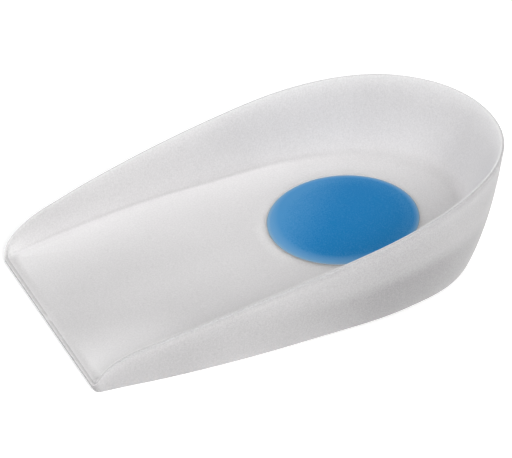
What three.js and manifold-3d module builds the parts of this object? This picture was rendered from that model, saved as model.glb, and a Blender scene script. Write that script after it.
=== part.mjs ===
// Moulded silicone heel cup with a round gel spot, as worn inside a shoe.
// Millimetres. +X across the foot, +Y from the open front edge to the heel, +Z up, the sole on z = 0.
import * as THREE from 'three';
import { mergeVertices } from 'three/addons/utils/BufferGeometryUtils.js';
import Module from 'manifold-3d';

const wasm = await Module();
wasm.setup();

// Outline of the rim, seen from above
const LENGTH = 110;
const HEEL_REACH = 47.5;            // from the widest place to the back of the heel
const FRONT_WIDTH = 55.7;
const HEEL_WIDTH = 67.6;
const HEEL_SQUARENESS = 2.13;       // 2 is an ellipse, more is squarer
const FRONT_CORNER_RADIUS = 2;

// Heights above the ground
const HEEL_HEIGHT = 27.3;           // rim at the back of the heel
const SOLE_FRONT = 1.7;             // floor at the front edge
const SOLE_HEEL = 9.4;              // floor at the back of the heel

// Wall, in a section square to the rim
const RIM_THICKNESS = 0.75;
const RIM_ROUND = 0.3;              // radius of the rim's two edges
const WALL_TAPER = 0.33;            // wall gained for each millimetre below the rim
const WALL_LEAN = 3.15;             // outward lean of the outer face from ground to rim
const UNDER_CURVE = 8.2;            // from the flat sole to the foot of the wall
const COVE_RADIUS = 7;              // between the inner face and the floor
const DISH_HEIGHT = 0.8;            // rise of the floor along the walls
const DISH_WIDTH = 9;

// Round gel spot
const PLUG_DIAMETER = 35;
const PLUG_FROM_HEEL = 36.9;        // its centre to the back of the heel
const PLUG_CROWN = 1;               // height of its middle above the floor
const PLUG_EDGE = 0.3;              // height of its upper edge above the floor
const PLUG_SHOULDER = 0.5;          // radius of its upper edge
const PLUG_FOOT = 0.5;              // radius of its lower edge
const PLUG_BED = 1.8;               // body left below it where the sole is thinnest
const PLUG_CLEARANCE = 0.3;

// Sections from the front edge (along 0) to the back of the heel (along 1), along being a share of
// the length. rim and floor are shares of the climb from SOLE_FRONT to HEEL_HEIGHT and to SOLE_HEEL.
// lean, under, cove and dish are shares of WALL_LEAN, UNDER_CURVE, COVE_RADIUS and DISH_HEIGHT.
const SECTIONS = [
  { along: 0.00, rim: 0.000, floor: 0.000, lean: 0.09, under: 0.03, cove: 0.05, dish: 0.00 },
  { along: 0.02, rim: 0.132, floor: 0.032, lean: 0.12, under: 0.05, cove: 0.12, dish: 0.30 },
  { along: 0.06, rim: 0.257, floor: 0.095, lean: 0.17, under: 0.09, cove: 0.18, dish: 0.85 },
  { along: 0.14, rim: 0.368, floor: 0.220, lean: 0.26, under: 0.12, cove: 0.21, dish: 1.00 },
  { along: 0.30, rim: 0.541, floor: 0.445, lean: 0.38, under: 0.25, cove: 0.21, dish: 1.00 },
  { along: 0.50, rim: 0.728, floor: 0.610, lean: 0.52, under: 0.43, cove: 0.21, dish: 1.00 },
  { along: 0.70, rim: 0.891, floor: 0.805, lean: 0.56, under: 0.50, cove: 0.34, dish: 0.95 },
  { along: 0.85, rim: 0.979, floor: 0.925, lean: 0.66, under: 0.47, cove: 0.45, dish: 0.75 },
  { along: 0.93, rim: 0.996, floor: 0.970, lean: 0.93, under: 0.76, cove: 0.55, dish: 0.66 },
  { along: 1.00, rim: 1.000, floor: 1.000, lean: 1.00, under: 1.00, cove: 0.60, dish: 0.63 },
];

// The outer face is one curve whose two ends aim at the foot of the wall, this share of the way
const GROUND_AIM = 0.79;
const RIM_AIM = 0.67;
// A rounded corner takes at most this share of the straight on either side
const ROUND_LIMIT = 0.48;

// The inner foot of the wall settles on the sloping floor within this many passes
const FOOT_PASSES = 6;
// The floor leaves the cove's end, and meets its own line, at this power of what is left of the way
const COVE_FADE = 4;

// Places around the outline and along each section. A spacing above 1 crowds them at its start.
const FRONT_STEPS = 6;
const CORNER_STEPS = 3;
const SIDE_STEPS = 16;
const HEEL_STEPS = 18;
const OUTER_STEPS = 8;
const EDGE_STEPS = 2;
const COVE_STEPS = 4;
const FLOOR_STEPS = 7;
const SIDE_SPACING = 1.5;
const FLOOR_SPACING = 1.6;
const PLUG_SIDES = 48;
const PLUG_ARC_STEPS = 4;

// Smooth curve through one column of the table
function column(name) {
  const places = SECTIONS.map((row) => row.along);
  const shares = SECTIONS.map((row) => row[name]);
  const curve = new THREE.CubicInterpolant(places, shares, 1);
  return (along) => curve.evaluate(THREE.MathUtils.clamp(along, 0, 1))[0];
}

const rimShare = column('rim');
const floorShare = column('floor');
const leanShare = column('lean');
const underShare = column('under');
const coveShare = column('cove');
const dishShare = column('dish');

const sideLength = LENGTH - HEEL_REACH;
const flare = (HEEL_WIDTH - FRONT_WIDTH) / 2;
const plugRadius = PLUG_DIAMETER / 2;
const plugCentre = new THREE.Vector2(0, LENGTH - PLUG_FROM_HEEL);

const rimHeight = (y) => SOLE_FRONT + (HEEL_HEIGHT - SOLE_FRONT) * rimShare(y / LENGTH);
const floorHeight = (y) => SOLE_FRONT + (SOLE_HEEL - SOLE_FRONT) * floorShare(y / LENGTH);

// Half width of the side at y, and how fast it widens
function sideAt(y) {
  const left = 1 - y / sideLength;
  return { halfWidth: HEEL_WIDTH / 2 - flare * left * left, widening: 2 * flare * left / sideLength };
}

// Places around the rim on one side, from the middle of the front edge to the back of the heel,
// each with the direction that faces straight out
function halfOutline() {
  const stations = [];
  const place = (x, y, outX, outY) => {
    stations.push({ point: new THREE.Vector2(x, y), out: new THREE.Vector2(outX, outY).normalize() });
  };

  const turn = Math.atan(sideAt(0).widening);
  const sideStart = FRONT_CORNER_RADIUS * (1 - Math.sin(turn));
  const cornerX = sideAt(sideStart).halfWidth - FRONT_CORNER_RADIUS * Math.cos(turn);
  for (let i = 0; i < FRONT_STEPS; i += 1) {
    place(cornerX * i / FRONT_STEPS, 0, 0, -1);
  }
  for (let i = 0; i < CORNER_STEPS; i += 1) {
    const angle = -Math.PI / 2 + (Math.PI / 2 - turn) * i / CORNER_STEPS;
    const outX = Math.cos(angle);
    const outY = Math.sin(angle);
    place(cornerX + FRONT_CORNER_RADIUS * outX, FRONT_CORNER_RADIUS * (1 + outY), outX, outY);
  }
  for (let i = 0; i < SIDE_STEPS; i += 1) {
    const y = sideStart + (sideLength - sideStart) * (i / SIDE_STEPS) ** SIDE_SPACING;
    const side = sideAt(y);
    place(side.halfWidth, y, 1, -side.widening);
  }
  for (let i = 0; i <= HEEL_STEPS; i += 1) {
    const angle = Math.PI / 2 * i / HEEL_STEPS;
    const across = Math.max(Math.cos(angle), 0) ** (2 / HEEL_SQUARENESS);
    const back = Math.sin(angle) ** (2 / HEEL_SQUARENESS);
    const outX = across ** (HEEL_SQUARENESS - 1) / (HEEL_WIDTH / 2);
    const outY = back ** (HEEL_SQUARENESS - 1) / HEEL_REACH;
    place(HEEL_WIDTH / 2 * across, sideLength + HEEL_REACH * back, outX, outY);
  }
  return stations;
}

// Both sides, the second mirrored from the first without the two places on the middle line
function wholeOutline() {
  const half = halfOutline();
  const mirrored = half.slice(1, -1).reverse().map(({ point, out }) => ({
    point: new THREE.Vector2(-point.x, point.y),
    out: new THREE.Vector2(-out.x, out.y),
  }));
  return [...half, ...mirrored];
}

// Arc that rounds the corner between two straights, from the first to the second
function roundCorner(before, corner, after, radius, steps) {
  const back = before.clone().sub(corner);
  const ahead = after.clone().sub(corner);
  const half = back.angleTo(ahead) / 2;
  const room = ROUND_LIMIT * Math.min(back.length(), ahead.length());
  const reach = Math.min(radius / Math.tan(half), room);
  const sweep = Math.PI - 2 * half;
  if (reach === 0) {
    return Array.from({ length: steps + 1 }, () => corner.clone());
  }
  const start = corner.clone().addScaledVector(back.normalize(), reach);
  const end = corner.clone().addScaledVector(ahead.normalize(), reach);
  const centre = corner.clone().addScaledVector(back.add(ahead).normalize(), reach / Math.cos(half));
  return Array.from({ length: steps + 1 }, (_, i) => {
    const fromStart = Math.sin((1 - i / steps) * sweep) / Math.sin(sweep);
    const fromEnd = Math.sin(i / steps * sweep) / Math.sin(sweep);
    return centre.clone()
      .addScaledVector(start.clone().sub(centre), fromStart)
      .addScaledVector(end.clone().sub(centre), fromEnd);
  });
}

// Inner foot of the wall, where its inner face would meet the floor in a sharp corner. x is the
// distance out from the rim's outer edge, y the height.
function innerFoot(station, height, lean, dish) {
  const foot = new THREE.Vector2(-RIM_THICKNESS, 0);
  for (let i = 0; i < FOOT_PASSES; i += 1) {
    const floor = floorHeight(station.point.y + foot.x * station.out.y) + dish;
    foot.y = Math.min(floor, height);
    foot.x = -lean * (1 - foot.y / height) - RIM_THICKNESS - WALL_TAPER * (height - foot.y);
  }
  return foot;
}

// Section of the wall at one place of the outline, from the flat sole over the rim to the floor.
// x is the distance out from the rim's outer edge, y the height.
function wallSection(station) {
  const along = station.point.y / LENGTH;
  const height = rimHeight(station.point.y);
  const lean = WALL_LEAN * leanShare(along);
  const under = UNDER_CURVE * underShare(along);
  const cove = COVE_RADIUS * coveShare(along);
  const dish = DISH_HEIGHT * dishShare(along);

  const footOutside = new THREE.Vector2(-lean, 0);
  const flatEnd = new THREE.Vector2(-lean - under, 0);
  const rimOutside = new THREE.Vector2(0, height);
  const outerFace = new THREE.CubicBezierCurve(
    flatEnd,
    flatEnd.clone().lerp(footOutside, GROUND_AIM),
    rimOutside.clone().lerp(footOutside, RIM_AIM),
    rimOutside,
  ).getPoints(OUTER_STEPS).slice(0, -1);

  const rimInside = new THREE.Vector2(-RIM_THICKNESS, height);
  const footInside = innerFoot(station, height, lean, dish);
  const floorInward = footInside.clone().sub(new THREE.Vector2(DISH_WIDTH / 2, dish));
  return [
    ...outerFace,
    ...roundCorner(outerFace.at(-1), rimOutside, rimInside, RIM_ROUND, EDGE_STEPS),
    ...roundCorner(rimOutside, rimInside, footInside, RIM_ROUND, EDGE_STEPS),
    ...roundCorner(rimInside, footInside, floorInward, cove, COVE_STEPS),
  ];
}

// Floor from the end of a wall section straight to the middle of the gel spot. It follows the
// sole's own slope, and rises beside the wall.
function floorRow(station, wallEnd) {
  const dish = DISH_HEIGHT * dishShare(station.point.y / LENGTH);
  const start = station.point.clone().addScaledVector(station.out, wallEnd.x);
  const toMiddle = plugCentre.clone().sub(start);
  const squareness = -toMiddle.clone().normalize().dot(station.out);
  const heightAt = (place, run) => {
    const clear = Math.min(run * squareness / DISH_WIDTH, 1);
    return floorHeight(place.y) + dish * (1 - clear) ** 2;
  };
  const coveStep = wallEnd.y - heightAt(start, 0);
  return Array.from({ length: FLOOR_STEPS - 1 }, (_, i) => {
    const share = ((i + 1) / FLOOR_STEPS) ** FLOOR_SPACING;
    const place = start.clone().lerp(plugCentre, share);
    const height = heightAt(place, share * toMiddle.length()) + coveStep * (1 - share) ** COVE_FADE;
    return new THREE.Vector3(place.x, place.y, height);
  });
}

// Closed surface through rings of equal length, from one end point to the other
function closedSurface(first, rings, last) {
  const sides = rings[0].length;
  const points = [first, ...rings.flat(), last];
  const at = (ring, side) => 1 + ring * sides + side % sides;
  const triangles = [];
  for (let side = 0; side < sides; side += 1) {
    triangles.push(0, at(0, side + 1), at(0, side));
    for (let ring = 1; ring < rings.length; ring += 1) {
      triangles.push(at(ring - 1, side), at(ring - 1, side + 1), at(ring, side + 1));
      triangles.push(at(ring - 1, side), at(ring, side + 1), at(ring, side));
    }
    triangles.push(at(rings.length - 1, side), at(rings.length - 1, side + 1), points.length - 1);
  }
  const geometry = new THREE.BufferGeometry().setFromPoints(points);
  geometry.setIndex(triangles);
  return geometry;
}

// Cup without the hollow for the gel spot
function cupShape() {
  const stations = wholeOutline();
  const lines = stations.map((station) => {
    const section = wallSection(station);
    const wall = section.map(({ x, y }) => {
      const place = station.point.clone().addScaledVector(station.out, x);
      return new THREE.Vector3(place.x, place.y, y);
    });
    return [...wall, ...floorRow(station, section.at(-1))];
  });
  const rings = lines[0].map((_, i) => lines.map((line) => line[i]));
  const underMiddle = new THREE.Vector3(plugCentre.x, plugCentre.y, 0);
  const floorMiddle = new THREE.Vector3(plugCentre.x, plugCentre.y, floorHeight(plugCentre.y));
  return closedSurface(underMiddle, rings, floorMiddle);
}

// The gel spot's seat: on the floor, square to the line between its front and back edges
function plugSeat() {
  const front = plugCentre.y - plugRadius;
  const back = plugCentre.y + plugRadius;
  const climb = floorHeight(back) - floorHeight(front);
  return {
    tilt: Math.atan2(climb, PLUG_DIAMETER),
    height: (floorHeight(front) + floorHeight(back)) / 2,
    depth: floorHeight(front) - PLUG_BED,
  };
}

const seat = plugSeat();

// Gel spot about its own axis: a disc with a rounded foot, a rounded shoulder and a low crown
function plugProfile() {
  const underneath = new THREE.Vector2(0, -seat.depth);
  const foot = new THREE.Vector2(plugRadius, -seat.depth);
  const edge = new THREE.Vector2(plugRadius, PLUG_EDGE);
  const crown = new THREE.QuadraticBezierCurve(
    edge,
    new THREE.Vector2(plugRadius / 2, PLUG_CROWN),
    new THREE.Vector2(0, PLUG_CROWN),
  ).getPoints(PLUG_ARC_STEPS);
  return [
    underneath,
    ...roundCorner(underneath, foot, edge, PLUG_FOOT, EDGE_STEPS),
    ...roundCorner(foot, edge, crown[1], PLUG_SHOULDER, PLUG_ARC_STEPS),
    ...crown.slice(1),
  ];
}

// Turns a profile about the gel spot's axis and lays it on its seat
function turned(profile) {
  const geometry = new THREE.LatheGeometry(profile, PLUG_SIDES);
  geometry.rotateX(Math.PI / 2 + seat.tilt);
  geometry.translate(plugCentre.x, plugCentre.y, seat.height);
  return geometry;
}

// Hollow that holds the gel spot: its disc, wider and deeper by the clearance, open upwards
function hollowProfile() {
  const radius = plugRadius + PLUG_CLEARANCE;
  const bottom = -seat.depth - PLUG_CLEARANCE;
  return [
    new THREE.Vector2(0, bottom),
    new THREE.Vector2(radius, bottom),
    new THREE.Vector2(radius, HEEL_HEIGHT),
    new THREE.Vector2(0, HEEL_HEIGHT),
  ];
}

// Same surface with shared points and without collapsed triangles
function welded(geometry) {
  const bare = geometry.clone();
  bare.deleteAttribute('normal');
  bare.deleteAttribute('uv');
  const merged = mergeVertices(bare);
  const index = Array.from(merged.index.array);
  const kept = [];
  for (let i = 0; i < index.length; i += 3) {
    const [a, b, c] = index.slice(i, i + 3);
    if (a !== b && b !== c && c !== a) {
      kept.push(a, b, c);
    }
  }
  merged.setIndex(kept);
  return merged;
}

function toSolid(geometry) {
  const merged = welded(geometry);
  return new wasm.Manifold(new wasm.Mesh({
    numProp: 3,
    vertProperties: new Float32Array(merged.attributes.position.array),
    triVerts: new Uint32Array(merged.index.array),
  }));
}

function toGeometry(solid) {
  const mesh = solid.getMesh();
  const geometry = new THREE.BufferGeometry();
  geometry.setAttribute('position', new THREE.BufferAttribute(mesh.vertProperties, 3));
  geometry.setIndex(new THREE.BufferAttribute(mesh.triVerts, 1));
  geometry.computeVertexNormals();
  return geometry;
}

function silicone() {
  return new THREE.MeshStandardMaterial({ color: 0xdcdcda, roughness: 0.45, metalness: 0 });
}

function blueGel() {
  return new THREE.MeshStandardMaterial({ color: 0x2676b8, roughness: 0.4, metalness: 0 });
}

function cupBody() {
  const body = toSolid(cupShape()).subtract(toSolid(turned(hollowProfile())));
  const mesh = new THREE.Mesh(toGeometry(body), silicone());
  mesh.name = 'cup_body';
  return mesh;
}

function heelPlug() {
  const mesh = new THREE.Mesh(welded(turned(plugProfile())), blueGel());
  mesh.name = 'heel_plug';
  return mesh;
}

// The origin is on the ground under the middle of the cup's length
const cup = new THREE.Group();
cup.add(cupBody(), heelPlug());
const extent = new THREE.Box3().setFromObject(cup);
cup.position.y = -(extent.min.y + extent.max.y) / 2;

export default cup;
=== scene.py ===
# Looks of a moulded silicone heel cup with a round gel spot under the heel.
# Metres, +X across the foot, +Y from the open front edge to the heel, +Z up, the sole on z = 0.
import math

import bmesh
import bpy
import numpy as np
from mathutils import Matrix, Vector


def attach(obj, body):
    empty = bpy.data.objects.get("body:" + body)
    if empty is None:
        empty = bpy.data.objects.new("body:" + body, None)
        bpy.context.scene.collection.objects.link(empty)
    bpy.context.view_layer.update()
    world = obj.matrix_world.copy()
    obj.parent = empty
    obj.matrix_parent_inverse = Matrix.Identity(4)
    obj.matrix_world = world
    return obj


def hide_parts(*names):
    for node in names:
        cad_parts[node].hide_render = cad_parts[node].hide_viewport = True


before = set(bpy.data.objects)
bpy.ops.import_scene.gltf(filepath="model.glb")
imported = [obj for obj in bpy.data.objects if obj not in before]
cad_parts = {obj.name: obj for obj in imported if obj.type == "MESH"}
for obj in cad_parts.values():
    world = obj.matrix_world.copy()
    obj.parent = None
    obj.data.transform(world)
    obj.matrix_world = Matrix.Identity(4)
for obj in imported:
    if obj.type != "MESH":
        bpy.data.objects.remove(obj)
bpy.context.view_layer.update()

MM = 0.001

# ---- Shape of the cup, in millimetres, y measured from the front edge ----
LENGTH = 110.0
HEEL_REACH = 47.5
FRONT_WIDTH = 55.7
HEEL_WIDTH = 67.6
HEEL_SQUARENESS = 2.13
FRONT_CORNER_RADIUS = 2.0
HEEL_HEIGHT = 27.3
SOLE_FRONT = 1.7
SOLE_HEEL = 9.4
RIM_THICKNESS = 0.75
RIM_ROUND = 0.3
WALL_TAPER = 0.33
WALL_LEAN = 3.15
UNDER_CURVE = 8.2
COVE_RADIUS = 7.0
DISH_HEIGHT = 0.8
DISH_WIDTH = 9.0
GROUND_AIM = 0.79
RIM_AIM = 0.67
ROUND_LIMIT = 0.48
FOOT_PASSES = 8
COVE_FADE = 4

# Round gel spot
PLUG_DIAMETER = 35.0
PLUG_FROM_HEEL = 36.9
PLUG_CROWN = 1.0
PLUG_EDGE = 0.2
PLUG_SHOULDER = 0.15
PLUG_FOOT = 0.5
PLUG_BED = 1.8
BOND_LINE = 0.02
BOND_RISE = 0.25
BOND_REACH = 3.0
GEL_SIDES = 145
GEL_BASE_STEPS = 12
GEL_FOOT_STEPS = 5
GEL_SIDE_STEPS = 6
GEL_SHOULDER_STEPS = 12
GEL_CROWN_STEPS = 28
GEL_MERGE_GAP = 0.01

# Sections from the front edge (along 0) to the back of the heel (along 1), as shares of the sizes
SECTION_COLUMNS = ("along", "rim", "floor", "lean", "under", "cove", "dish")
SECTIONS = (
    (0.00, 0.000, 0.000, 0.09, 0.03, 0.05, 0.00),
    (0.02, 0.132, 0.032, 0.12, 0.05, 0.12, 0.30),
    (0.06, 0.257, 0.095, 0.17, 0.09, 0.18, 0.85),
    (0.14, 0.368, 0.220, 0.26, 0.12, 0.21, 1.00),
    (0.30, 0.541, 0.445, 0.38, 0.25, 0.21, 1.00),
    (0.50, 0.728, 0.610, 0.52, 0.43, 0.21, 1.00),
    (0.70, 0.891, 0.805, 0.56, 0.50, 0.34, 0.95),
    (0.85, 0.979, 0.925, 0.66, 0.47, 0.45, 0.75),
    (0.93, 0.996, 0.970, 0.93, 0.76, 0.55, 0.66),
    (1.00, 1.000, 1.000, 1.00, 1.00, 0.60, 0.63),
)

# Places around the outline and along each section
FRONT_STEPS = 14
CORNER_STEPS = 8
SIDE_STEPS = 60
HEEL_STEPS = 64
OUTER_STEPS = 22
EDGE_STEPS = 4
FACE_STEPS = 10
COVE_STEPS = 14
FLOOR_STEPS = 22
SIDE_SPACING = 1.3
FLOOR_SPACING = 1.35
SOLE_MARGIN = 0.35
SMALLEST = 0.002
RAY_STEP = 0.12
POCKET_HALVINGS = 24
SHARP_EDGE_DEGREES = 55
FIRST_SIDE = FRONT_STEPS + CORNER_STEPS
RIM_RINGS = OUTER_STEPS + EDGE_STEPS + 2
COVE_RINGS = RIM_RINGS + EDGE_STEPS + FACE_STEPS
FLOOR_RINGS = COVE_RINGS + COVE_STEPS + 2

# ---- Tones of the silicone's colour, from 0, darkest, to 1, lightest: mostly painted light and shade, partly the silicone's thickness ----
# Lengths are in millimetres, and places are measured from the front edge.
# Outer face: painted shade at the waist, and low down in front of the thick sole, where it partly stands for
# the thicker silicone and lessens towards the heel; painted light towards the ground
OUTER_TONE = 0.18
GROUND_LIGHT_TONE = 0.31
WAIST_SHADE = 0.06
WAIST_FROM_FRONT = 68.0
WAIST_REACH = 22.0
THICK_SHADE_TONE = -0.05
THICK_ABOVE_FLOOR = 7.5
THICK_FADE = 5.0
THICK_SOLE = 5.0
THICK_SOLE_RANGE = 2.5
THICK_HEEL_GAIN = 0.13
THICK_HEEL_FROM = 76.0
THICK_HEEL_RANGE = 24.0

# Rim, darkened with painted shade that dims its highlight, and lighter along the front edge
RIM_TONE = 0.03
FRONT_RIM_TONE = 0.28

# Inner face, painted light and shade: lighter towards its foot and round the back of the heel, darker at its
# top towards the front
INNER_TOP_TONE = 0.31
INNER_LOW_TONE = 0.57
HEEL_FROM = 0.5
HEEL_TOP_GAIN = 0.03
HEEL_LOW_GAIN = 0.1
HEEL_BACK_GAIN = 0.12
HEEL_BACK_TURN = -0.25
HEEL_BACK_RANGE = 0.65
FRONT_LOSS = 0.14
COVE_BAND_FROM = 0.25
COVE_BAND_RANGE = 0.625

# Floor, with painted light: a light band at the foot of the walls and a light edge round the gel spot; and
# painted shade towards the front edge
BAND_TONE = 0.86
HEEL_BAND_TONE = 0.68
BAND_WIDTH = 24.0
BAND_FALL = 1.5
FLOOR_TONE = 0.65
FRONT_TONE = 0.52
FRONT_REACH = 45.0
FRONT_EDGE_TONE = 0.5
FRONT_EDGE_REACH = 6.0
POCKET_EDGE_GAIN = 0.34
POCKET_EDGE_REACH = 6.0
POCKET_EDGE_FALL = 3

# The +X side, painted light and shade: lighter in its front corner and darker behind it
SIDE_FADE = 12.0
SIDE_LOSS = 0.07
SIDE_LOSS_TO = 28.0
SIDE_LOSS_RANGE = 28.0
CORNER_GAIN = 0.14
CORNER_REACH = 14.0
CORNER_RANGE = 18.0
BAND_SIDE_LOSS = 0.12
BAND_SIDE_TO = 40.0
BAND_SIDE_RANGE = 25.0

# Faces that are seldom seen
SOLE_TONE = 0.3
POCKET_TONE = 0.5

# ---- Photograph's view ----
VIEW_AZIMUTH = 65.2
VIEW_ELEVATION = 34.42
VIEW_DISTANCE = 0.7
VIEW_TARGET = (0.0, -0.00385, 0.01129)
FOCAL_PIXELS = 3101.0
IMAGE_WIDTH = 512
SENSOR_WIDTH = 36.0


def smooth_column(name):
    """Smooth curve through one column of the table of sections."""
    column = SECTION_COLUMNS.index(name)
    places = [row[0] for row in SECTIONS]
    shares = [row[column] for row in SECTIONS]

    def share_at(along):
        along = min(max(along, 0.0), 1.0)
        right = next((i for i, place in enumerate(places) if place > along), len(places) - 1)
        left = right - 1
        before = left - 1 if left > 0 else right
        after = right + 1 if right + 1 < len(places) else left
        half = (places[right] - places[left]) / 2
        weight_before = half / (places[left] - places[before])
        weight_after = half / (places[after] - places[right])
        t = (along - places[left]) / (places[right] - places[left])
        t2 = t * t
        t3 = t2 * t
        return (
            weight_before * (2 * t2 - t3 - t) * shares[before]
            + ((1 + weight_before) * t3 - (1.5 + 2 * weight_before) * t2
               + (weight_before - 0.5) * t + 1) * shares[left]
            + (-(1 + weight_after) * t3 + (1.5 + weight_after) * t2 + 0.5 * t) * shares[right]
            + weight_after * (t3 - t2) * shares[after]
        )

    return share_at


rim_share = smooth_column("rim")
floor_share = smooth_column("floor")
lean_share = smooth_column("lean")
under_share = smooth_column("under")
cove_share = smooth_column("cove")
dish_share = smooth_column("dish")

SIDE_LENGTH = LENGTH - HEEL_REACH
FLARE = (HEEL_WIDTH - FRONT_WIDTH) / 2
PLUG_RADIUS = PLUG_DIAMETER / 2
PLUG_CENTRE = Vector((0.0, LENGTH - PLUG_FROM_HEEL))


def rim_height(y):
    return SOLE_FRONT + (HEEL_HEIGHT - SOLE_FRONT) * rim_share(y / LENGTH)


def floor_height(y):
    return SOLE_FRONT + (SOLE_HEEL - SOLE_FRONT) * floor_share(y / LENGTH)


def side_at(y):
    """Half width of the side at y, and how fast it widens."""
    left = 1 - y / SIDE_LENGTH
    return HEEL_WIDTH / 2 - FLARE * left * left, 2 * FLARE * left / SIDE_LENGTH


def half_outline():
    """Places around the rim on one side, each with the direction that faces straight out."""
    stations = []

    def place(x, y, out_x, out_y):
        stations.append((Vector((x, y)), Vector((out_x, out_y)).normalized()))

    turn = math.atan(side_at(0)[1])
    side_start = FRONT_CORNER_RADIUS * (1 - math.sin(turn))
    corner_x = side_at(side_start)[0] - FRONT_CORNER_RADIUS * math.cos(turn)
    for i in range(FRONT_STEPS):
        place(corner_x * i / FRONT_STEPS, 0, 0, -1)
    for i in range(CORNER_STEPS):
        angle = -math.pi / 2 + (math.pi / 2 - turn) * i / CORNER_STEPS
        out_x, out_y = math.cos(angle), math.sin(angle)
        place(corner_x + FRONT_CORNER_RADIUS * out_x, FRONT_CORNER_RADIUS * (1 + out_y), out_x, out_y)
    for i in range(SIDE_STEPS):
        y = side_start + (SIDE_LENGTH - side_start) * (i / SIDE_STEPS) ** SIDE_SPACING
        half_width, widening = side_at(y)
        place(half_width, y, 1, -widening)
    for i in range(HEEL_STEPS + 1):
        angle = math.pi / 2 * i / HEEL_STEPS
        across = max(math.cos(angle), 0) ** (2 / HEEL_SQUARENESS)
        back = math.sin(angle) ** (2 / HEEL_SQUARENESS)
        place(
            HEEL_WIDTH / 2 * across,
            SIDE_LENGTH + HEEL_REACH * back,
            across ** (HEEL_SQUARENESS - 1) / (HEEL_WIDTH / 2),
            back ** (HEEL_SQUARENESS - 1) / HEEL_REACH,
        )
    return stations


def whole_outline():
    """Both sides, the second mirrored without the two places on the middle line."""
    half = half_outline()
    mirrored = [
        (Vector((-point.x, point.y)), Vector((-out.x, out.y)))
        for point, out in reversed(half[1:-1])
    ]
    return half + mirrored


def round_corner(before, corner, after, radius, steps):
    """Arc that rounds the corner between two straights, from the first to the second."""
    back = before - corner
    ahead = after - corner
    if min(back.length, ahead.length) < SMALLEST:
        return [corner] * (steps + 1)
    half = back.angle(ahead) / 2
    reach = min(radius / math.tan(half), ROUND_LIMIT * min(back.length, ahead.length))
    sweep = math.pi - 2 * half
    start = corner + back.normalized() * reach
    end = corner + ahead.normalized() * reach
    centre = corner + (back.normalized() + ahead.normalized()).normalized() * (reach / math.cos(half))
    arc = []
    for i in range(steps + 1):
        from_start = math.sin((1 - i / steps) * sweep) / math.sin(sweep)
        from_end = math.sin(i / steps * sweep) / math.sin(sweep)
        arc.append(centre + (start - centre) * from_start + (end - centre) * from_end)
    return arc


def wall_foot(station):
    """How far out the wall's inner face meets the floor, from the rim's outer edge."""
    along = station[0].y / LENGTH
    lean = WALL_LEAN * lean_share(along)
    return inner_foot(station, rim_height(station[0].y), lean, DISH_HEIGHT * dish_share(along)).x


def inner_foot(station, height, lean, dish):
    """Where the wall's inner face would meet the sloping floor in a sharp corner."""
    point, out = station
    foot = Vector((-RIM_THICKNESS, 0.0))
    for _ in range(FOOT_PASSES):
        foot.y = min(floor_height(point.y + foot.x * out.y) + dish, height)
        foot.x = -lean * (1 - foot.y / height) - RIM_THICKNESS - WALL_TAPER * (height - foot.y)
    return foot


def curve_points(start, first, second, end, steps):
    """Cubic curve between two ends and their two handles, without its last point."""
    points = []
    for i in range(steps):
        t = i / steps
        s = 1 - t
        points.append(start * s ** 3 + first * (3 * s * s * t) + second * (3 * s * t * t) + end * t ** 3)
    return points


def wall_section(station):
    """Section of the wall, from the flat sole over the rim to the floor: distance out, height."""
    along = station[0].y / LENGTH
    height = rim_height(station[0].y)
    lean = WALL_LEAN * lean_share(along)
    under = UNDER_CURVE * under_share(along)
    cove = COVE_RADIUS * cove_share(along)
    dish = DISH_HEIGHT * dish_share(along)

    foot_outside = Vector((-lean, 0.0))
    flat_end = Vector((-lean - under, 0.0))
    rim_outside = Vector((0.0, height))
    outer_face = curve_points(
        flat_end,
        flat_end.lerp(foot_outside, GROUND_AIM),
        rim_outside.lerp(foot_outside, RIM_AIM),
        rim_outside,
        OUTER_STEPS,
    )
    rim_inside = Vector((-RIM_THICKNESS, height))
    foot_inside = inner_foot(station, height, lean, dish)
    floor_inward = foot_inside - Vector((DISH_WIDTH / 2, dish))
    rim_rounding = round_corner(rim_outside, rim_inside, foot_inside, RIM_ROUND, EDGE_STEPS)
    cove_arc = round_corner(rim_inside, foot_inside, floor_inward, cove, COVE_STEPS)
    inner_face = [rim_rounding[-1].lerp(cove_arc[0], i / FACE_STEPS) for i in range(1, FACE_STEPS)]
    return (
        [flat_end - Vector((SOLE_MARGIN, 0.0))]
        + outer_face
        + round_corner(outer_face[-1], rim_outside, rim_inside, RIM_ROUND, EDGE_STEPS)
        + rim_rounding
        + inner_face
        + cove_arc
    )


class GelSeat:
    """The gel spot's place: on the floor, square to the line between its front and back edges."""

    front = PLUG_CENTRE.y - PLUG_RADIUS
    back = PLUG_CENTRE.y + PLUG_RADIUS
    tilt = math.atan2(floor_height(back) - floor_height(front), PLUG_DIAMETER)
    depth = floor_height(front) - PLUG_BED
    centre = Vector((0.0, PLUG_CENTRE.y, (floor_height(front) + floor_height(back)) / 2))
    axis = Vector((0.0, -math.sin(tilt), math.cos(tilt)))


class FloorShape:
    """The floor inside the walls: the sole's own climb, and a dish that rises beside the walls."""

    def __init__(self, foot_line):
        self.foot_line = np.array([tuple(foot) for foot in foot_line])

    def clear_of_wall(self, place, width):
        gaps = self.foot_line - np.array(tuple(place))
        return min(math.sqrt((gaps * gaps).sum(axis=1).min()) / width, 1.0)

    def height(self, place):
        dish = DISH_HEIGHT * dish_share(place.y / LENGTH)
        return floor_height(place.y) + dish * (1 - self.clear_of_wall(place, DISH_WIDTH)) ** 2


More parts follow.
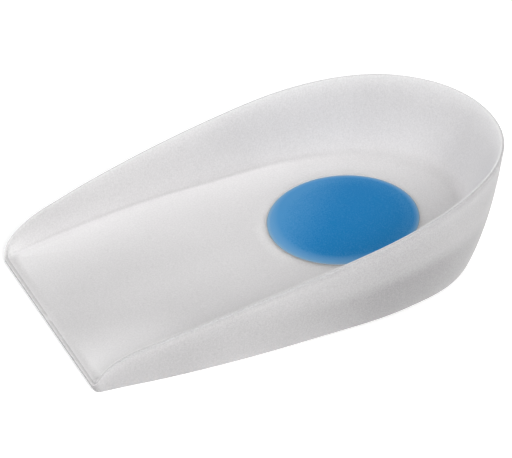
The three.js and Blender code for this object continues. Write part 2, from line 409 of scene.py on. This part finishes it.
def floor_row(wall_end, shape):
    """Floor from a wall section's end towards the gel spot's middle, then down into its pocket."""
    start = wall_end.to_2d()
    cove_step = wall_end.z - shape.height(start)
    pocket_radius = PLUG_RADIUS + BOND_LINE

    def on_floor(share):
        place = start.lerp(PLUG_CENTRE, share)
        from_pocket = (place - PLUG_CENTRE).length - PLUG_RADIUS
        bond = BOND_RISE * fall(from_pocket, 0, BOND_REACH)
        return Vector((*place, shape.height(place) + cove_step * (1 - share) ** COVE_FADE + bond))

    near, far = 0.0, 1.0
    for _ in range(POCKET_HALVINGS):
        share = (near + far) / 2
        arm = on_floor(share) - GelSeat.centre
        if (arm - GelSeat.axis * arm.dot(GelSeat.axis)).length > pocket_radius:
            near = share
        else:
            far = share
    row = [on_floor(near * (i / FLOOR_STEPS) ** FLOOR_SPACING) for i in range(1, FLOOR_STEPS + 1)]
    edge = row[-1]
    drop = (edge - GelSeat.centre).dot(GelSeat.axis) + GelSeat.depth + BOND_LINE
    row.append(edge - GelSeat.axis * (drop / 2))
    row.append(edge - GelSeat.axis * drop)
    return row


def new_piece(name, vertices, faces, tones=None):
    mesh = bpy.data.meshes.new(name)
    mesh.from_pydata(vertices, [], faces)
    if tones:
        mesh.attributes.new("tone", "FLOAT", "POINT").data.foreach_set("value", tones)
    surface = bmesh.new()
    surface.from_mesh(mesh)
    bmesh.ops.remove_doubles(surface, verts=surface.verts, dist=SMALLEST * MM)
    bmesh.ops.dissolve_degenerate(surface, edges=surface.edges, dist=SMALLEST * MM)
    surface.to_mesh(mesh)
    surface.free()
    mesh.shade_smooth()
    piece = bpy.data.objects.new(name, mesh)
    bpy.context.scene.collection.objects.link(piece)
    return piece


def spread_front_corners(walls):
    """Moves the inner rings at the front so that the floor's rays keep their order, a step apart."""
    side_start = walls[FIRST_SIDE][-1]
    inner_rings = range(RIM_RINGS, len(walls[0]))
    front_reach = side_start.x - RAY_STEP * (CORNER_STEPS + 1)
    for index in range(1, FIRST_SIDE):
        corner = index - FRONT_STEPS
        if corner < 0:
            aim = Vector((front_reach * index / (FRONT_STEPS - 1), walls[index][-1].y))
        else:
            share = (corner + 1) / (CORNER_STEPS + 1)
            front_y = walls[FRONT_STEPS - 1][-1].y
            aim = Vector((side_start.x - RAY_STEP * (CORNER_STEPS - corner),
                          front_y + (side_start.y - front_y) * share))
        shift = aim - walls[index][-1].to_2d()
        for ring in inner_rings:
            share = (ring - RIM_RINGS + 1) / len(inner_rings)
            for wall, side in ((walls[index], 1), (walls[-index], -1)):
                wall[ring].x += side * shift.x * share
                wall[ring].y += shift.y * share


def smooth_step(value):
    value = min(max(value, 0.0), 1.0)
    return value * value * (3 - 2 * value)


def rise(value, start, reach):
    """From 0 at the start to 1 a reach further on, smooth at both ends."""
    return smooth_step((value - start) / reach)


def fall(value, start, reach):
    """From 1 at the start to 0 a reach further on, smooth at both ends."""
    return 1 - rise(value, start, reach)


def outer_tone(y, z):
    """Painted shade low down where the thick sole stands behind the outer face, partly the thicker silicone
    itself, and at the waist; painted light towards the ground.
    """
    floor = floor_height(y)
    before_sole = rise(floor + THICK_ABOVE_FLOOR, z, THICK_FADE) * rise(floor, THICK_SOLE, THICK_SOLE_RANGE)
    thin = OUTER_TONE - WAIST_SHADE * fall(abs(y - WAIST_FROM_FRONT), 0, WAIST_REACH)
    thick_shade = THICK_SHADE_TONE + THICK_HEEL_GAIN * rise(y, THICK_HEEL_FROM, THICK_HEEL_RANGE)
    near_ground = (GROUND_LIGHT_TONE - OUTER_TONE) * (1 - z / rim_height(y))
    return thin + (thick_shade - thin) * before_sole + near_ground


def floor_tone(place, shape):
    """Painted light and shade: lighter beside the walls and the gel spot, darker towards the front edge and
    on the +X side.
    """
    middle = FRONT_TONE + (FLOOR_TONE - FRONT_TONE) * rise(place.y, 0, FRONT_REACH)
    middle += (FRONT_EDGE_TONE - FRONT_TONE) * fall(place.y, 0, FRONT_EDGE_REACH)
    middle -= SIDE_LOSS * rise(place.x, 0, SIDE_FADE) * fall(place.y, SIDE_LOSS_TO, SIDE_LOSS_RANGE)
    from_pocket = (place - PLUG_CENTRE).length - PLUG_RADIUS
    clear_of_pocket = min(max(from_pocket / POCKET_EDGE_REACH, 0.0), 1.0)
    middle += POCKET_EDGE_GAIN * (1 - clear_of_pocket) ** POCKET_EDGE_FALL
    beside_wall = (1 - shape.clear_of_wall(place, BAND_WIDTH)) ** BAND_FALL
    return middle + (band_tone(place) - middle) * beside_wall


def band_tone(place):
    """The painted light band at the foot of the walls, which on the +X side fades behind the front corner."""
    tone = BAND_TONE + (HEEL_BAND_TONE - BAND_TONE) * rise(place.y / LENGTH, HEEL_FROM, 1 - HEEL_FROM)
    behind = rise(place.y, CORNER_REACH, CORNER_RANGE)
    ahead_of_heel = fall(place.y, BAND_SIDE_TO, BAND_SIDE_RANGE)
    change = CORNER_GAIN * (1 - behind) - BAND_SIDE_LOSS * behind * ahead_of_heel
    return tone + change * rise(place.x, 0, SIDE_FADE)


def tone_row(station, line, shape):
    """How light the silicone's colour is along one line of the cup, from 0 to 1, mostly painted light and
    shade and partly the silicone's thickness.
    """
    point, out = station
    facing_front = max(-out.y, 0.0)
    heel = rise(point.y / LENGTH, HEEL_FROM, 1 - HEEL_FROM)
    heel_back = HEEL_BACK_GAIN * max(out.y, 0.0) * rise(out.x, HEEL_BACK_TURN, HEEL_BACK_RANGE)
    face_top = INNER_TOP_TONE + HEEL_TOP_GAIN * heel + heel_back
    face_top -= FRONT_LOSS * fall(point.y, 0, FRONT_REACH)
    face_low = INNER_LOW_TONE + HEEL_LOW_GAIN * heel + heel_back
    face_low += (FRONT_EDGE_TONE - face_low) * facing_front
    band = band_tone(point)
    band += (FRONT_EDGE_TONE - band) * facing_front
    tones = []
    for ring, place in enumerate(line):
        if ring <= OUTER_STEPS:
            tone = outer_tone(point.y, place.z) * (1 - facing_front)
        elif ring < RIM_RINGS:
            tone = RIM_TONE + (FRONT_RIM_TONE - RIM_TONE) * facing_front
        elif ring < COVE_RINGS:
            down_face = max(ring - RIM_RINGS - EDGE_STEPS, 0) / FACE_STEPS
            tone = face_top + (face_low - face_top) * down_face
        elif ring < FLOOR_RINGS:
            round_cove = (ring - COVE_RINGS) / COVE_STEPS
            tone = face_low + (band - face_low) * rise(round_cove, COVE_BAND_FROM, COVE_BAND_RANGE)
        else:
            tone = floor_tone(place.to_2d(), shape)
        tones.append(tone)
    return tones


def moulded_cup():
    """The cup in one closed skin: sole, walls, rim, floor and the gel spot's pocket."""
    stations = whole_outline()
    walls = []
    for station in stations:
        point, out = station
        walls.append([Vector((*(point + out * step.x), step.y)) for step in wall_section(station)])
    spread_front_corners(walls)
    sides_and_heel = stations[FIRST_SIDE:1 - FIRST_SIDE]
    shape = FloorShape([point + out * wall_foot((point, out)) for point, out in sides_and_heel])
    lines = [wall + floor_row(wall[-1], shape) for wall in walls]
    tones = [tone_row(station, line, shape) for station, line in zip(stations, lines)]
    sides = len(lines)
    rings = len(lines[0])
    under_middle = Vector((PLUG_CENTRE.x, PLUG_CENTRE.y, 0.0))
    pocket_middle = GelSeat.centre - GelSeat.axis * (GelSeat.depth + BOND_LINE)
    points = [under_middle] + [line[ring] for ring in range(rings) for line in lines] + [pocket_middle]
    vertices = [(p.x * MM, (p.y - LENGTH / 2) * MM, p.z * MM) for p in points]
    tone_list = [SOLE_TONE] + [row[ring] for ring in range(rings) for row in tones] + [POCKET_TONE]

    def at(ring, side):
        return 1 + ring * sides + side % sides

    faces = []
    for side in range(sides):
        faces.append((0, at(0, side + 1), at(0, side)))
        for ring in range(1, rings):
            faces.append((at(ring - 1, side), at(ring - 1, side + 1), at(ring, side + 1), at(ring, side)))
        faces.append((at(rings - 1, side), at(rings - 1, side + 1), len(points) - 1))
    piece = new_piece("moulded_cup", vertices, faces, tone_list)
    piece.data.set_sharp_from_angle(angle=math.radians(SHARP_EDGE_DEGREES))
    return piece


# ---- Node helpers ----
def add_node(tree, kind, inputs=None, **settings):
    """A node with its settings, and its inputs set to a value or wired to another node's socket."""
    node = tree.nodes.new(kind)
    for name, value in settings.items():
        setattr(node, name, value)
    for name, value in (inputs or {}).items():
        socket = node.inputs[name]
        if isinstance(value, bpy.types.NodeSocket):
            tree.links.new(value, socket)
        else:
            socket.default_value = value
    return node


def add_math(tree, operation, first, second=0.0):
    return add_node(tree, "ShaderNodeMath", {0: first, 1: second}, operation=operation).outputs[0]


def open_sockets(tree, direction, sockets):
    for name, kind in sockets:
        tree.interface.new_socket(name=name, in_out=direction, socket_type="NodeSocket" + kind)


# ---- Gel spot, a disc turned about its own axis ----
def turned_strip():
    """Node group: a quadratic curve from Start to End, turned about Z. Its points are (radius, 0, height)."""
    tree = bpy.data.node_groups.new("turned_strip", "GeometryNodeTree")
    open_sockets(tree, "INPUT", (
        ("Start", "Vector"), ("Middle", "Vector"), ("End", "Vector"), ("Steps", "Int"), ("Sides", "Int"),
    ))
    open_sockets(tree, "OUTPUT", (("Strip", "Geometry"),))
    sizes = add_node(tree, "NodeGroupInput").outputs
    grid = add_node(tree, "GeometryNodeMeshGrid", {
        "Size X": 1.0, "Size Y": 1.0, "Vertices X": sizes["Steps"], "Vertices Y": sizes["Sides"],
    })
    place = add_node(tree, "ShaderNodeSeparateXYZ", {
        0: add_node(tree, "GeometryNodeInputPosition").outputs[0],
    }).outputs
    share = add_math(tree, "ADD", place["X"], 0.5)
    angle = add_math(tree, "MULTIPLY", add_math(tree, "ADD", place["Y"], 0.5), 2 * math.pi)

    def between(first, second):
        node = add_node(tree, "ShaderNodeMix", {0: share}, data_type="VECTOR")
        tree.links.new(first, node.inputs[4])
        tree.links.new(second, node.inputs[5])
        return node.outputs[1]

    curve = between(between(sizes["Start"], sizes["Middle"]), between(sizes["Middle"], sizes["End"]))
    radius_height = add_node(tree, "ShaderNodeSeparateXYZ", {0: curve}).outputs
    turned = add_node(tree, "ShaderNodeCombineXYZ", {
        "X": add_math(tree, "MULTIPLY", radius_height["X"], add_math(tree, "COSINE", angle)),
        "Y": add_math(tree, "MULTIPLY", radius_height["X"], add_math(tree, "SINE", angle)),
        "Z": radius_height["Z"],
    })
    strip = add_node(tree, "GeometryNodeSetPosition", {
        "Geometry": grid.outputs["Mesh"], "Position": turned.outputs[0],
    })
    add_node(tree, "NodeGroupOutput", {"Strip": strip.outputs[0]})
    return tree


def gel_disc():
    """Node group: the gel spot from its sizes, with a rounded foot and shoulder and a low crown."""
    tree = bpy.data.node_groups.new("gel_disc", "GeometryNodeTree")
    open_sockets(tree, "INPUT", (
        ("Geometry", "Geometry"), ("Radius", "Float"), ("Depth", "Float"), ("Edge Height", "Float"),
        ("Crown Height", "Float"), ("Shoulder", "Float"), ("Foot", "Float"), ("Seat", "Vector"),
        ("Tilt", "Vector"), ("Sides", "Int"), ("Material", "Material"),
    ))
    open_sockets(tree, "OUTPUT", (("Geometry", "Geometry"),))
    sizes = add_node(tree, "NodeGroupInput").outputs
    strip_group = turned_strip()

    def profile_point(radius, height):
        return add_node(tree, "ShaderNodeCombineXYZ", {"X": radius, "Z": height}).outputs[0]

    low = add_math(tree, "MULTIPLY", sizes["Depth"], -1.0)
    foot_start = add_math(tree, "SUBTRACT", sizes["Radius"], sizes["Foot"])
    foot_end = add_math(tree, "ADD", low, sizes["Foot"])
    shoulder_start = add_math(tree, "SUBTRACT", sizes["Edge Height"], sizes["Shoulder"])
    crown_start = add_math(tree, "SUBTRACT", sizes["Radius"], sizes["Shoulder"])
    # The crown is a parabola from its middle to the edge
    crown_share = add_math(tree, "DIVIDE", crown_start, sizes["Radius"])
    crown_fall = add_math(tree, "SUBTRACT", sizes["Crown Height"], sizes["Edge Height"])
    crown_drop = add_math(tree, "MULTIPLY", crown_fall, add_math(tree, "POWER", crown_share, 2.0))
    crown_edge = add_math(tree, "SUBTRACT", sizes["Crown Height"], crown_drop)
    half_crown = add_math(tree, "MULTIPLY", crown_start, 0.5)

    strips = (
        (profile_point(0.0, low), profile_point(half_crown, low), profile_point(foot_start, low),
         GEL_BASE_STEPS),
        (profile_point(foot_start, low), profile_point(sizes["Radius"], low),
         profile_point(sizes["Radius"], foot_end), GEL_FOOT_STEPS),
        (profile_point(sizes["Radius"], foot_end), profile_point(sizes["Radius"], 0.0),
         profile_point(sizes["Radius"], shoulder_start), GEL_SIDE_STEPS),
        (profile_point(sizes["Radius"], shoulder_start),
         profile_point(sizes["Radius"], sizes["Edge Height"]), profile_point(crown_start, crown_edge),
         GEL_SHOULDER_STEPS),
        (profile_point(crown_start, crown_edge), profile_point(half_crown, sizes["Crown Height"]),
         profile_point(0.0, sizes["Crown Height"]), GEL_CROWN_STEPS),
    )
    joined = add_node(tree, "GeometryNodeJoinGeometry")
    for start, middle, end, steps in strips:
        strip = add_node(tree, "GeometryNodeGroup", node_tree=strip_group)
        tree.links.new(start, strip.inputs["Start"])
        tree.links.new(middle, strip.inputs["Middle"])
        tree.links.new(end, strip.inputs["End"])
        strip.inputs["Steps"].default_value = steps
        tree.links.new(sizes["Sides"], strip.inputs["Sides"])
        tree.links.new(strip.outputs["Strip"], joined.inputs[0])
    closed = add_node(tree, "GeometryNodeMergeByDistance", {
        "Geometry": joined.outputs[0], "Distance": GEL_MERGE_GAP * MM,
    })
    flat = add_node(tree, "ShaderNodeVectorMath", {
        0: add_node(tree, "GeometryNodeInputPosition").outputs[0], 1: (1.0, 1.0, 0.0),
    }, operation="MULTIPLY").outputs[0]
    reach = add_node(tree, "ShaderNodeVectorMath", {0: flat}, operation="LENGTH").outputs["Value"]
    marked = add_node(tree, "GeometryNodeStoreNamedAttribute", {
        "Geometry": closed.outputs[0],
        "Name": "edge_share",
        "Value": add_math(tree, "DIVIDE", reach, sizes["Radius"]),
    }, data_type="FLOAT", domain="POINT")
    seated = add_node(tree, "GeometryNodeTransform", {
        "Geometry": marked.outputs[0], "Translation": sizes["Seat"], "Rotation": sizes["Tilt"],
    })
    outward = add_node(tree, "GeometryNodeFlipFaces", {"Mesh": seated.outputs[0]})
    smooth = add_node(tree, "GeometryNodeSetShadeSmooth", {"Geometry": outward.outputs[0]})
    realised = add_node(tree, "GeometryNodeRealizeInstances", {"Geometry": smooth.outputs[0]})
    finished = add_node(tree, "GeometryNodeSetMaterial", {
        "Geometry": realised.outputs[0], "Material": sizes["Material"],
    })
    add_node(tree, "NodeGroupOutput", {"Geometry": finished.outputs[0]})
    return tree


def grown_piece(name, tree, sizes):
    """The plain mesh that a geometry tree gives for the named sizes."""
    piece = bpy.data.objects.new(name, bpy.data.meshes.new(name))
    bpy.context.scene.collection.objects.link(piece)
    modifier = piece.modifiers.new(name, "NODES")
    modifier.node_group = tree
    for socket in tree.interface.items_tree:
        if socket.in_out == "INPUT" and socket.name in sizes:
            modifier[socket.identifier] = sizes[socket.name]
    evaluated = piece.evaluated_get(bpy.context.evaluated_depsgraph_get())
    mesh = bpy.data.meshes.new_from_object(evaluated)
    piece.modifiers.clear()
    piece.data = mesh
    mesh.name = name
    return piece


def gel_spot(material):
    seat = GelSeat.centre
    return grown_piece("gel_spot", gel_disc(), {
        "Radius": PLUG_RADIUS * MM,
        "Depth": GelSeat.depth * MM,
        "Edge Height": PLUG_EDGE * MM,
        "Crown Height": PLUG_CROWN * MM,
        "Shoulder": PLUG_SHOULDER * MM,
        "Foot": PLUG_FOOT * MM,
        "Seat": (seat.x * MM, (seat.y - LENGTH / 2) * MM, seat.z * MM),
        "Tilt": (GelSeat.tilt, 0.0, 0.0),
        "Sides": GEL_SIDES,
        "Material": material,
    })


# ---- Materials ----
def moulded_grain():
    """Shader group: the fine satin grain and the soft clouds of moulded silicone."""
    tree = bpy.data.node_groups.new("moulded_grain", "ShaderNodeTree")
    open_sockets(tree, "INPUT", (("Grain Scale", "Float"), ("Cloud Scale", "Float")))
    open_sockets(tree, "OUTPUT", (("Grain", "Float"), ("Clouds", "Float")))
    scales = add_node(tree, "NodeGroupInput").outputs
    place = add_node(tree, "ShaderNodeTexCoord").outputs["Object"]
    grain = add_node(tree, "ShaderNodeTexNoise", {
        "Vector": place, "Scale": scales["Grain Scale"], "Detail": 3.0, "Roughness": 0.6,
    })
    clouds = add_node(tree, "ShaderNodeTexNoise", {
        "Vector": place, "Scale": scales["Cloud Scale"], "Detail": 2.0, "Roughness": 0.5,
    })
    add_node(tree, "NodeGroupOutput", {"Grain": grain.outputs["Fac"], "Clouds": clouds.outputs["Fac"]})
    return tree


GRAIN = moulded_grain()
GRAIN_LOW = 0.3
GRAIN_HIGH = 0.7
SILICONE_IOR = 1.41


def new_material(name):
    material = bpy.data.materials.new(name)
    material.use_nodes = True
    tree = material.node_tree
    tree.nodes.clear()
    return material, tree


def mixed_colour(tree, share, first, second):
    node = add_node(tree, "ShaderNodeMix", {0: share}, data_type="RGBA")
    for index, value in ((6, first), (7, second)):
        if isinstance(value, bpy.types.NodeSocket):
            tree.links.new(value, node.inputs[index])
        else:
            node.inputs[index].default_value = (*value, 1.0)
    return node.outputs[2]


def ranged(tree, value, low, high, new_low, new_high):
    """The value moved from one range to another, and held between the new ends."""
    return add_node(tree, "ShaderNodeMapRange", {
        "Value": value, "From Min": low, "From Max": high, "To Min": new_low, "To Max": new_high,
    }).outputs[0]


def grained(tree, value, low, high):
    """A noise moved to the wanted range."""
    return ranged(tree, value, GRAIN_LOW, GRAIN_HIGH, low, high)


def satin_bump(tree, grain):
    return add_node(tree, "ShaderNodeBump", {
        "Strength": 0.25, "Distance": 0.05 * MM, "Height": grain.outputs["Grain"],
    }).outputs[0]


def milky_silicone():
    # Tone 0 takes the first colour and 1 the second; the tone carries painted light and shade as well as
    # thickness
    thick_and_shaded = (0.27, 0.265, 0.268)
    lightest = (0.86, 0.848, 0.852)
    material, tree = new_material("milky_silicone")
    grain = add_node(tree, "ShaderNodeGroup", node_tree=GRAIN)
    grain.inputs["Grain Scale"].default_value = 2900.0
    grain.inputs["Cloud Scale"].default_value = 55.0
    tone = add_node(tree, "ShaderNodeAttribute", attribute_name="tone").outputs["Fac"]
    cloudy = add_math(tree, "ADD", tone, grained(tree, grain.outputs["Clouds"], -0.02, 0.02))
    cloudy = add_math(tree, "ADD", cloudy, grained(tree, grain.outputs["Grain"], -0.08, 0.08))
    shader = add_node(tree, "ShaderNodeBsdfPrincipled", {
        "Base Color": mixed_colour(tree, cloudy, thick_and_shaded, lightest),
        "Roughness": grained(tree, grain.outputs["Grain"], 0.42, 0.52),
        "Normal": satin_bump(tree, grain),
        "IOR": SILICONE_IOR,
        "Subsurface Weight": 1.0, "Subsurface Radius": (1.0, 1.0, 1.0), "Subsurface Scale": 7.0 * MM,
    })
    add_node(tree, "ShaderNodeOutputMaterial", {"Surface": shader.outputs[0]})
    return material


def side_share(tree, direction, low, high):
    """How far a place lies to one side of the gel spot's middle, as shares of its radius."""
    middle = (0.0, (PLUG_CENTRE.y - LENGTH / 2) * MM, 0.0)
    place = add_node(tree, "ShaderNodeTexCoord").outputs["Object"]
    arm = add_node(tree, "ShaderNodeVectorMath", {0: place, 1: middle}, operation="SUBTRACT").outputs[0]
    side = add_node(tree, "ShaderNodeVectorMath", {0: arm, 1: direction}, operation="DOT_PRODUCT")
    reach = PLUG_RADIUS * MM
    return add_node(tree, "ShaderNodeMapRange", {
        "Value": side.outputs["Value"], "From Min": low * reach, "From Max": high * reach,
    }, interpolation_type="SMOOTHSTEP").outputs[0]


def blue_gel():
    towards_front = (-0.66, -0.75, 0.0)
    towards_corner = (0.6, -0.8, 0.0)
    deep_blue = (0.003, 0.18, 0.45)
    sheen_and_speckle_blue = (0.06, 0.262, 0.535)
    ring_inside = (0.12, 0.315, 0.56)
    ring_edge = (0.23, 0.38, 0.53)
    material, tree = new_material("blue_gel")
    grain = add_node(tree, "ShaderNodeGroup", node_tree=GRAIN)
    grain.inputs["Grain Scale"].default_value = 3300.0
    edge_share = add_node(tree, "ShaderNodeAttribute", attribute_name="edge_share").outputs["Fac"]

    # Paler towards the front, a painted reflection, and towards the edge, where the gel thins and a painted
    # highlight lies, with a fine speckle
    paler = add_math(tree, "ADD", side_share(tree, towards_front, -0.05, 1.05),
                     grained(tree, grain.outputs["Grain"], -0.35, 0.42))
    paler = add_math(tree, "ADD", paler, ranged(tree, edge_share, 0.72, 0.98, 0.0, 0.5))
    body = mixed_colour(tree, paler, deep_blue, sheen_and_speckle_blue)

    # Pale ring where the gel thins out, partly a painted highlight, wider towards the front corner
    ring_width = add_math(tree, "MULTIPLY", side_share(tree, towards_corner, -0.3, 0.7), 0.1)
    ring_start = add_math(tree, "SUBTRACT", 0.92, ring_width)
    ring_end = add_math(tree, "SUBTRACT", 0.995, add_math(tree, "MULTIPLY", ring_width, 0.5))
    ring_share = ranged(tree, edge_share, ring_start, ring_end, 0.0, 1.0)
    ring = mixed_colour(tree, ranged(tree, edge_share, 0.95, 1.0, 0.0, 1.0), ring_inside, ring_edge)

    shader = add_node(tree, "ShaderNodeBsdfPrincipled", {
        "Base Color": mixed_colour(tree, ring_share, body, ring),
        "Roughness": grained(tree, grain.outputs["Grain"], 0.38, 0.48),
        "Normal": satin_bump(tree, grain),
        "IOR": SILICONE_IOR,
        "Specular IOR Level": 0.15,
        "Subsurface Weight": 0.2,
        "Subsurface Radius": (0.3, 0.7, 1.0),
        "Subsurface Scale": 1.5 * MM,
    })
    add_node(tree, "ShaderNodeOutputMaterial", {"Surface": shader.outputs[0]})
    return material


def pale_floor():
    material, tree = new_material("pale_floor")
    shader = add_node(tree, "ShaderNodeBsdfPrincipled", {
        "Base Color": (0.95, 0.95, 0.95, 1.0), "Roughness": 0.9, "Specular IOR Level": 0.1,
        "Emission Color": (1.0, 1.0, 1.0, 1.0), "Emission Strength": 0.25,
    })
    add_node(tree, "ShaderNodeOutputMaterial", {"Surface": shader.outputs[0]})
    return material


# ---- Studio ----
def studio_floor():
    reach = 3.0
    floor = new_piece("studio_floor", [(-reach, -reach, 0), (reach, -reach, 0), (reach, reach, 0),
                                       (-reach, reach, 0)], [(0, 1, 2, 3)])
    floor.data.materials.append(pale_floor())


def soft_light(name, place, size, power):
    """A round softbox in watts, aimed at the origin."""
    light = bpy.data.lights.new(name, "AREA")
    light.shape = "DISK"
    light.size = size
    light.energy = power
    lamp = bpy.data.objects.new(name, light)
    lamp.location = place
    lamp.rotation_euler = (-Vector(place)).to_track_quat("-Z", "Y").to_euler()
    bpy.context.scene.collection.objects.link(lamp)


def studio_light():
    world = bpy.data.worlds.new("studio")
    bpy.context.scene.world = world
    world.use_nodes = True
    background = world.node_tree.nodes["Background"]
    background.inputs["Color"].default_value = (1.0, 1.0, 1.0, 1.0)
    background.inputs["Strength"].default_value = 0.65
    soft_light("key_softbox", place=(0.95, -0.10, 0.60), size=0.6, power=8.0)
    soft_light("fill_softbox", place=(-0.25, -1.0, 0.6), size=0.7, power=2.6)


def photo_camera():
    azimuth = math.radians(VIEW_AZIMUTH)
    elevation = math.radians(VIEW_ELEVATION)
    back = Vector((
        math.sin(azimuth) * math.cos(elevation),
        -math.cos(azimuth) * math.cos(elevation),
        math.sin(elevation),
    ))
    lens = bpy.data.cameras.new("photo_camera")
    lens.sensor_width = SENSOR_WIDTH
    lens.lens = FOCAL_PIXELS / IMAGE_WIDTH * SENSOR_WIDTH
    lens.clip_start = 0.01
    camera = bpy.data.objects.new("photo_camera", lens)
    camera.location = Vector(VIEW_TARGET) + back * VIEW_DISTANCE
    camera.rotation_euler = back.to_track_quat("Z", "Y").to_euler()
    bpy.context.scene.collection.objects.link(camera)
    bpy.context.scene.camera = camera


cup = moulded_cup()
cup.data.materials.append(milky_silicone())
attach(cup, "root")
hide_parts("cup_body")

spot = gel_spot(blue_gel())
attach(spot, "root")
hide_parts("heel_plug")

studio_floor()
studio_light()
photo_camera()
bpy.context.scene.view_settings.view_transform = "Standard"
